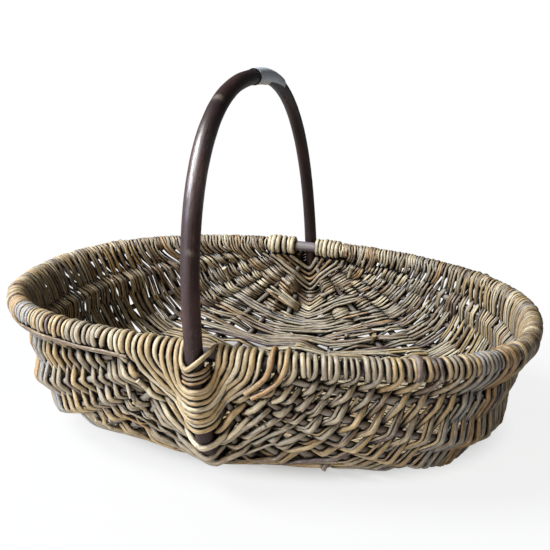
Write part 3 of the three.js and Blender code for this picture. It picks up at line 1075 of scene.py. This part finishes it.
# %% Weaver rods
SAME_ROD = 0.3
PAIRED = 0.9
WANDER = 0.0012
ROD_TAPER = (0.04, 0.14)
ROD_BUMPS = (0.022, 0.045)
EAR_RANGE = (0.90, 1.06)
SINGLE_RANGE = (0.78, 1.16)
THIN_RANGE = (0.85, 1.1)
rows = [course_stops(int(course), all_warps) for course in course_numbers]
turns = []
for course in course_numbers[:-1]:
    first, second = rows[course - 1][-1], rows[course][0]
    turns.append(turn_stops(first, second))


def rod_stops(course):
    row = rows[course - 1]
    has_turns = not is_ear(course)
    before = turns[course - 2] if has_turns and not is_ear(course - 1) else []
    after = turns[course - 1] if has_turns and not is_ear(course + 1) else []
    tail = before[CUT_STOP:] if before else tuck_stops(row[0])[::-1]
    lead = after[:CUT_STOP + 1] if after else tuck_stops(row[-1])
    return [*tail, *row, *lead]


def rod_through(stops, thickness, tone):
    centres = np.array([stop.centre(thickness) for stop in stops])
    return rod_along(curve_through(centres, [stop.ease for stop in stops]), thickness, tone)


def rod_along(line, thickness, tone):
    points = line.even(RING_STEP)
    taper = dice.choice([-1, 1]) * dice.uniform(*ROD_TAPER)
    radii = thickness / 2 * (1 + taper * np.linspace(-1, 1, len(points)))
    radii *= 1 + uneven(len(points), RING_STEP, *ROD_BUMPS)
    points[:, 2] = np.maximum(points[:, 2], radii)
    return bend_rod(points, radii, tone, WEAVER_RESOLUTION)


def beside(stop, offset):
    """The same stop, a little further along the rod that is woven round."""
    return replace(stop, share=stop.share + offset / stop.warp.line.length)


def weaver_rods(course, tone):
    """One rod at the ears and the front. Further on mostly two thin ones, and at the back three."""
    stops = rod_stops(course)
    if course_depth(course) <= FAT_COURSES:
        return [rod_through(stops, EAR_ROD * dice.uniform(*EAR_RANGE), 0.40 + 0.3 * tone)]
    at_back = course > COURSES - LOOSE_COURSES
    if course < SINGLE_COURSES or (not at_back and dice.random() > PAIRED):
        thickness = FRONT_ROD if course < SINGLE_COURSES else WEAVER_ROD
        return [rod_through(stops, thickness * dice.uniform(*SINGLE_RANGE), tone)]
    thickness, places = (BACK_ROD, (-1, 0, 1)) if at_back else (PAIR_ROD, (-0.5, 0.5))
    rods = []
    for place in places:
        laid = [beside(stop, place * thickness + dice.uniform(-WANDER, WANDER)) for stop in stops]
        thin = thickness * dice.uniform(*THIN_RANGE)
        rods.append(rod_through(laid, thin, (tone + dice.uniform(0, 0.2)) % 1))
    return rods


tone = dice.random()
weavers = []
for courses in np.array_split(course_numbers, PIECES):
    rods = []
    for course in courses:
        if dice.random() > SAME_ROD:
            tone = dice.random()
        rods.extend(weaver_rods(int(course), tone))
    node = f"weaver_{len(weavers) + 1}"
    weavers.append(make_piece(node, rods, "weaver", node))
print("weavers:", len(weavers), "faces:", sum(len(w.data.polygons) for w in weavers))

# %% [markdown]
# ## Ear lashing and stray rods
#
# Where the hoops cross, a few thin rods bind the handle to the rim before the weaving starts. Others run
# from the rim to the inside of the keel, and two tan ones slant down from the rim beside the front ear.
# Each is bent like a weaver, through a few places of its own.

# %% Rods across the handle's foot
BROWN_TONE = 0.1
TAN_TONE = 0.8
STRAW_TONE = 0.5
LASHING_ROD = 0.0037
CROSSING_ROD = 0.0050


def ear_line(places, ear):
    """A line through places in millimetres from where the hoops cross: right, outward and up."""
    right, outward, up = np.array(places, float).T / 1000
    points = np.stack([HANDLE_SHIFT + right, ear * (RIM_WIDTH / 2 + outward), RIM_HEIGHT + up], axis=-1)
    return curve_through(points, np.ones(len(points)))


lashings = []
LASHED = [(-1, 11, TAN_TONE), (-1, 15.5, BROWN_TONE), (-1, 20, TAN_TONE)]
LASHED += [(1, drop, dice.random()) for drop in (9, 13, 17, 21, 25, 29)]
for ear, drop, tone in LASHED:
    level = [(-14, 4, -4), (-9, 18, -1), (0, 24.6, 0), (9, 20, 2), (13, 6, 6)]
    places = [(right, outward, up - drop) for right, outward, up in level]
    lashings.append(rod_along(ear_line(places, ear), LASHING_ROD, tone))
CROSSING = [
    (-16, -7, 7), (-14.5, 3, 10), (-12.4, 13, 5), (-10.4, 19.5, -2), (-5, 24.8, -6.5),
    (5, 24.9, 0), (12.5, 16.5, 7), (15.5, 4, 10.2), (17, -8, 8),
]
lashings.append(rod_along(ear_line(CROSSING, -1), CROSSING_ROD, STRAW_TONE))
print("lashing rods:", len(lashings))

# %% Tan rods that slant down beside the front ear
SLANTING_COURSES = (8.4, 9.5)
# Each rib that is passed, and how many courses nearer to the ear.
SLANTING_RIBS = [(1, 0.4), (2, 0.8), (3, 1.2)]
SLANTING_TURN = np.linspace(-0.1, 0.9, 6) * math.pi
OVER_WRAPS = 0.0042
OVER_WALL = 0.005


def rib_stop(warp, share, side, raised=TOUCH):
    """A stop straight outside or inside a rib or the keel."""
    along = warp.line.heading(share)
    outward = warp.line.at(share) - CENTRE
    if warp is keel_warp:
        outward[0] = 0
    return Stop(warp, share, side, square_to(along, outward), along, 0.5, raised)


def wrap_stop(warp, share, angle, raised=TOUCH):
    """A stop on the way round the rim, where angle 0 is at its inner side."""
    outward = warp.line.at(share) - CENTRE
    return replace(rim_stop(warp, share, outward, -1, angle), raised=raised)


def slanting_rod(course):
    """A rod that comes over the rim and slants down towards the keel, outside the ribs."""
    rim_warp = right_warps[0]
    share = rim_warp.share(course)
    stops = [wrap_stop(rim_warp, share, angle, OVER_WRAPS) for angle in SLANTING_TURN]
    for rib, back in SLANTING_RIBS:
        warp = right_warps[rib]
        stops.append(rib_stop(warp, warp.share(course - back), 1, OVER_WALL))
    return rod_through(stops, CROSSING_ROD, TAN_TONE)


slanting = [slanting_rod(course) for course in SLANTING_COURSES]
print("slanting rods:", len(slanting))

# %% Rods from the rim to the inside of the keel
INNER_COURSES = {-1: np.arange(1.5, 12.5), 1: np.arange(1.5, 8.5, 1.5)}
BARE_INNER = 4.5
INNER_JITTER = 0.25
INNER_RODS = (0.0032, 0.0048)
UNDER_WRAPS = 0.8 * EAR_ROD


def inner_warps(course):
    left = [warp for warp in left_warps[2::2] if course > BARE_INNER and warp.takes(course)]
    right = [warp for warp in right_warps[2::2] if course > BARE_INNER and warp.takes(course)]
    return [left_warps[0], *left, keel_warp, *right[::-1], right_warps[0]]


def inner_rod(course, ear):
    """A rod from under the wraps of the rim that passes inside the ribs and the keel."""
    stops = []
    for warp in inner_warps(course):
        place = course + dice.uniform(-INNER_JITTER, INNER_JITTER)
        share = warp.share(place if ear < 0 else COURSES + 1 - place)
        if warp.radius == RIM_ROD / 2:
            stops.append(wrap_stop(warp, share, -math.pi / 3, UNDER_WRAPS))
        else:
            stops.append(rib_stop(warp, share, -1))
    return rod_through(stops, dice.uniform(*INNER_RODS), dice.random())


inner = [inner_rod(course, ear) for ear, courses in INNER_COURSES.items() for course in courses]
print("inner rods:", len(inner))

# %% [markdown]
# ## Filling rods and cut ends
#
# A basket maker pushes thin rods in between the courses where the weave stays too open. They pass the
# same ribs, half a course further on, so they go over and under like the rest. Where a rod ran out, its
# end was cut off and stands out a little. These ends are short rods at random crossings, because on the
# real basket they lie where they happen to.

# %% Thin rods that fill the front of the floor and the right wall
FILLING_RODS = (0.0028, 0.0036)
FILLED = [
    (range(FEW_RIB_COURSES + 1, SINGLE_COURSES), all_warps[3:16]),
    (range(SINGLE_COURSES, COURSES - EAR_COURSES - FEW_RIB_COURSES), all_warps[9:16]),
]

fillers = []
for filled_courses, filled_warps in FILLED:
    for course in filled_courses:
        stops = course_stops(course + 0.5, filled_warps)
        fillers.append(rod_through(stops, dice.uniform(*FILLING_RODS), dice.random()))
filling = make_piece("filling_rods", fillers, "weaver")
print("filling rods:", len(fillers), "faces:", len(filling.data.polygons))

# %% Ends left standing out
STUBS = 46
STUB_COURSES = (9, 34)
STUB_RODS = (0.0036, 0.0054)
STUB_FOOT = 0.0025
STUB_REACH = (0.002, 0.010)
STUB_TAIL, STUB_DIP = 0.012, 0.005
STUB_RISE = {1: (0.002, 0.004), -1: (0.003, 0.010)}


def stub(warp, course, side):
    """The end of a rod that comes from behind a rib and was cut off."""
    stop = rib_stop(warp, warp.share(course), side, STUB_FOOT)
    normal = side * stop.normal
    across = np.cross(stop.travel, normal) * dice.choice([-1, 1])
    foot = stop.centre(0)
    rise = dice.uniform(*STUB_RISE[side])
    tip = foot + across * dice.uniform(*STUB_REACH) + normal * rise
    line = Line([foot - across * STUB_TAIL - normal * STUB_DIP, foot, tip])
    return rod_along(line, dice.uniform(*STUB_RODS), dice.random())


stubs = []
for i in range(STUBS):
    course = dice.uniform(*STUB_COURSES)
    rib = dice.choice([*left_warps[2:], *right_warps[2:]])
    stubs.append(stub(rib, course if i % 2 else COURSES + 1 - course, dice.choice([-1, 1])))
print("cut ends:", len(stubs))

# %% [markdown]
# ## Rods along the rim
#
# Three thin rods lie along the lower edge of the rim at the front left, where they were trapped by the
# wraps. At the front right one thick end is wound over the rim. The thin ones follow the rim's own line
# at a small distance and sway a little, because a copy of that line would look drawn with a ruler.

# %% Rods along the edge of the rim, and a thick end wound over it
THICK_END = 0.252
THICK_ROD = 0.0080
PURPLE_TONE = 0.01
EDGE_SPAN = (0.092, 0.29)
EDGE_ROD = 0.0029
EDGE_RODS = [(0.0098, 0.0088), (0.0084, 0.0108), (0.0052, 0.0125)]
SWAY = 0.0006


def edge_rod(out, down):
    shares = np.linspace(*EDGE_SPAN, 60)
    points = []
    for share in shares:
        along = left_lines[0].heading(share)
        outward = unit(np.cross(along, (0, 0, 1)))
        outward *= np.sign(outward @ (left_lines[0].at(share) - CENTRE))
        sway = SWAY * math.sin(90 * share + 1000 * down)
        points.append(left_lines[0].at(share) + outward * (out + sway) - np.array([0, 0, down - sway]))
    return rod_along(Line(points), EDGE_ROD, BROWN_TONE)


edges = [edge_rod(out, down) for out, down in EDGE_RODS]
end_wrap = []
for angle in np.linspace(0.30, 1.45, 9) * math.pi:
    share = THICK_END - 0.008 * (0.5 * math.pi - min(angle, 0.5 * math.pi))
    end_wrap.append(wrap_stop(right_warps[0], share, angle))
edges.append(rod_through(end_wrap, THICK_ROD, PURPLE_TONE))
stray_rods = [*lashings, *slanting, *inner, *stubs, *edges]
strays = make_piece("lashing_and_strays", stray_rods, "weaver")
print("strays:", len(strays.data.polygons), "faces")

# %% [markdown]
# ## Painted shade in the crevices
#
# The finishes paint shade into the crevices between the rods. The weavers also get a pale mark, partly
# rubbed wear and partly painted highlight, where no rod is close. So each vertex is probed a little way
# along its normal: where another rod is close by, the vertex is in a crevice. A tree of points just under
# the bark of every rod makes that quick, and the result is one more attribute.

# %% Crevices
BARK_DEPTH = 0.0013
PROBES = [(0.0016, 0.55), (0.0045, 0.40), (0.0095, 0.35)]
woven = [handle, rim, *ribs, *weavers, filling, strays]


def under_bark(piece):
    return vertex_vectors(piece, "co") - BARK_DEPTH * vertex_vectors(piece, "normal")


spots = np.vstack([under_bark(piece) for piece in woven])[::3]
tree = KDTree(len(spots))
for i, spot in enumerate(spots.tolist()):
    tree.insert(spot, i)
tree.balance()


def mark_crevices(piece):
    places, normals = vertex_vectors(piece, "co"), vertex_vectors(piece, "normal")
    depth = np.zeros(len(places))
    for reach, weight in PROBES:
        found = [tree.find(spot)[2] for spot in (places + reach * normals).tolist()]
        gaps = np.array(found) - BARK_DEPTH
        depth += weight * np.clip((reach - gaps) / reach, 0, 1)
    mark(piece.data, "crevice", depth)
    return depth.mean()


print("mean crevice:", round(float(np.mean([mark_crevices(piece) for piece in woven])), 3))

# %% [markdown]
# ## Paper label
#
# A strip of paper is stuck round the handle just behind its top, and the side that faces up reaches
# further back. The strip starts as a flat grid. Its length is wound round the rod and its width laid
# along it, and Solidify gives the paper its thickness. It carries no words.

# %% Label
LABEL_START = 0.485
LABEL_LENGTH = 0.088
BAND_WIDTH = 0.040
FIRST_TURN, LAST_TURN = math.radians(-75), math.radians(265)
# The turns round the rod, in degrees, over which the painted shade under the wrap fades in.
TONGUE_EDGE = (112, 128)
UNDER_SHADE_EDGE = (118, 130)
LOOSE = 0.0007
OVERLAP = 0.0004
PAPER = 0.0003

bpy.ops.object.select_all(action="DESELECT")
bpy.ops.mesh.primitive_grid_add(x_subdivisions=64, y_subdivisions=16, size=2)
label = bpy.context.object
under_shades = []
for vertex in label.data.vertices:
    across, back_along = (vertex.co.x + 1) / 2, (vertex.co.y + 1) / 2
    turn = FIRST_TURN + across * (LAST_TURN - FIRST_TURN)
    reach = np.interp(math.degrees(turn), TONGUE_EDGE, (LABEL_LENGTH, BAND_WIDTH))
    share = LABEL_START - back_along * reach / arch.length
    along = arch.heading(share)
    up = square_to(along, np.array([0, 0, 1]))
    right = np.cross(up, along)
    radius = HANDLE_ROD / 2 * 1.02 + LOOSE + OVERLAP * across
    vertex.co = arch.at(share) + radius * (up * math.cos(turn) + right * math.sin(turn))
    under_shades.append(np.interp(math.degrees(turn), UNDER_SHADE_EDGE, (0, 1)))
mark(label.data, "under_shade", under_shades)
thickness = label.modifiers.new("paper", "SOLIDIFY")
thickness.thickness = PAPER
bpy.ops.object.modifier_apply(modifier=thickness.name)
bpy.ops.object.shade_smooth_by_angle(angle=math.radians(40))
label.name = label.data.name = "label"
label.data.materials.append(finishes["paper"])
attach(label, "root")
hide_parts("paper_label")
print("label:", len(label.data.polygons), "faces")
